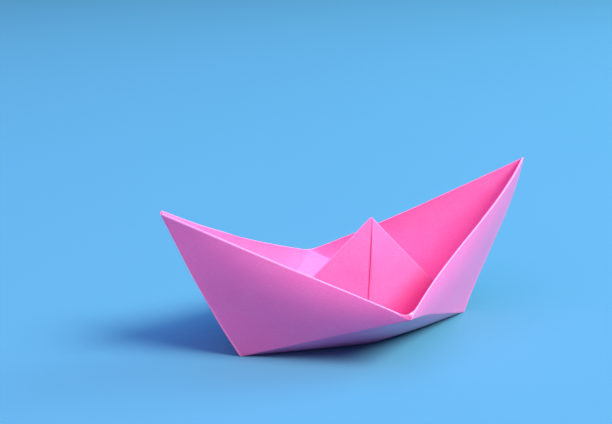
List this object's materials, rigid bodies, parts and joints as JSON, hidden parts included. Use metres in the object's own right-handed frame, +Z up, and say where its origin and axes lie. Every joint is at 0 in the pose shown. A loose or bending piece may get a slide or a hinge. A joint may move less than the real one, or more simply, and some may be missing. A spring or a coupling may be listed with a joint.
{
  "type": "folded paper boat",
  "caption": "Toy sailing boat folded from one rectangular sheet of paper, with a pointed sail between two raised ends; it stands on its bottom folds.",
  "frame": {"origin": "middle of the base, on the surface that the bottom folds stand on", "axes": "+X along the boat from bow to stern, -Y towards the side with the double corner flaps, +Z up"},
  "size_m": [0.1668, 0.0948, 0.0682],
  "materials": {
    "pink_paper": "uncoated, pink on both faces"
  },
  "bodies": {
    "root": {"folded_sheet": "pink_paper"}
  },
  "joints": []
}
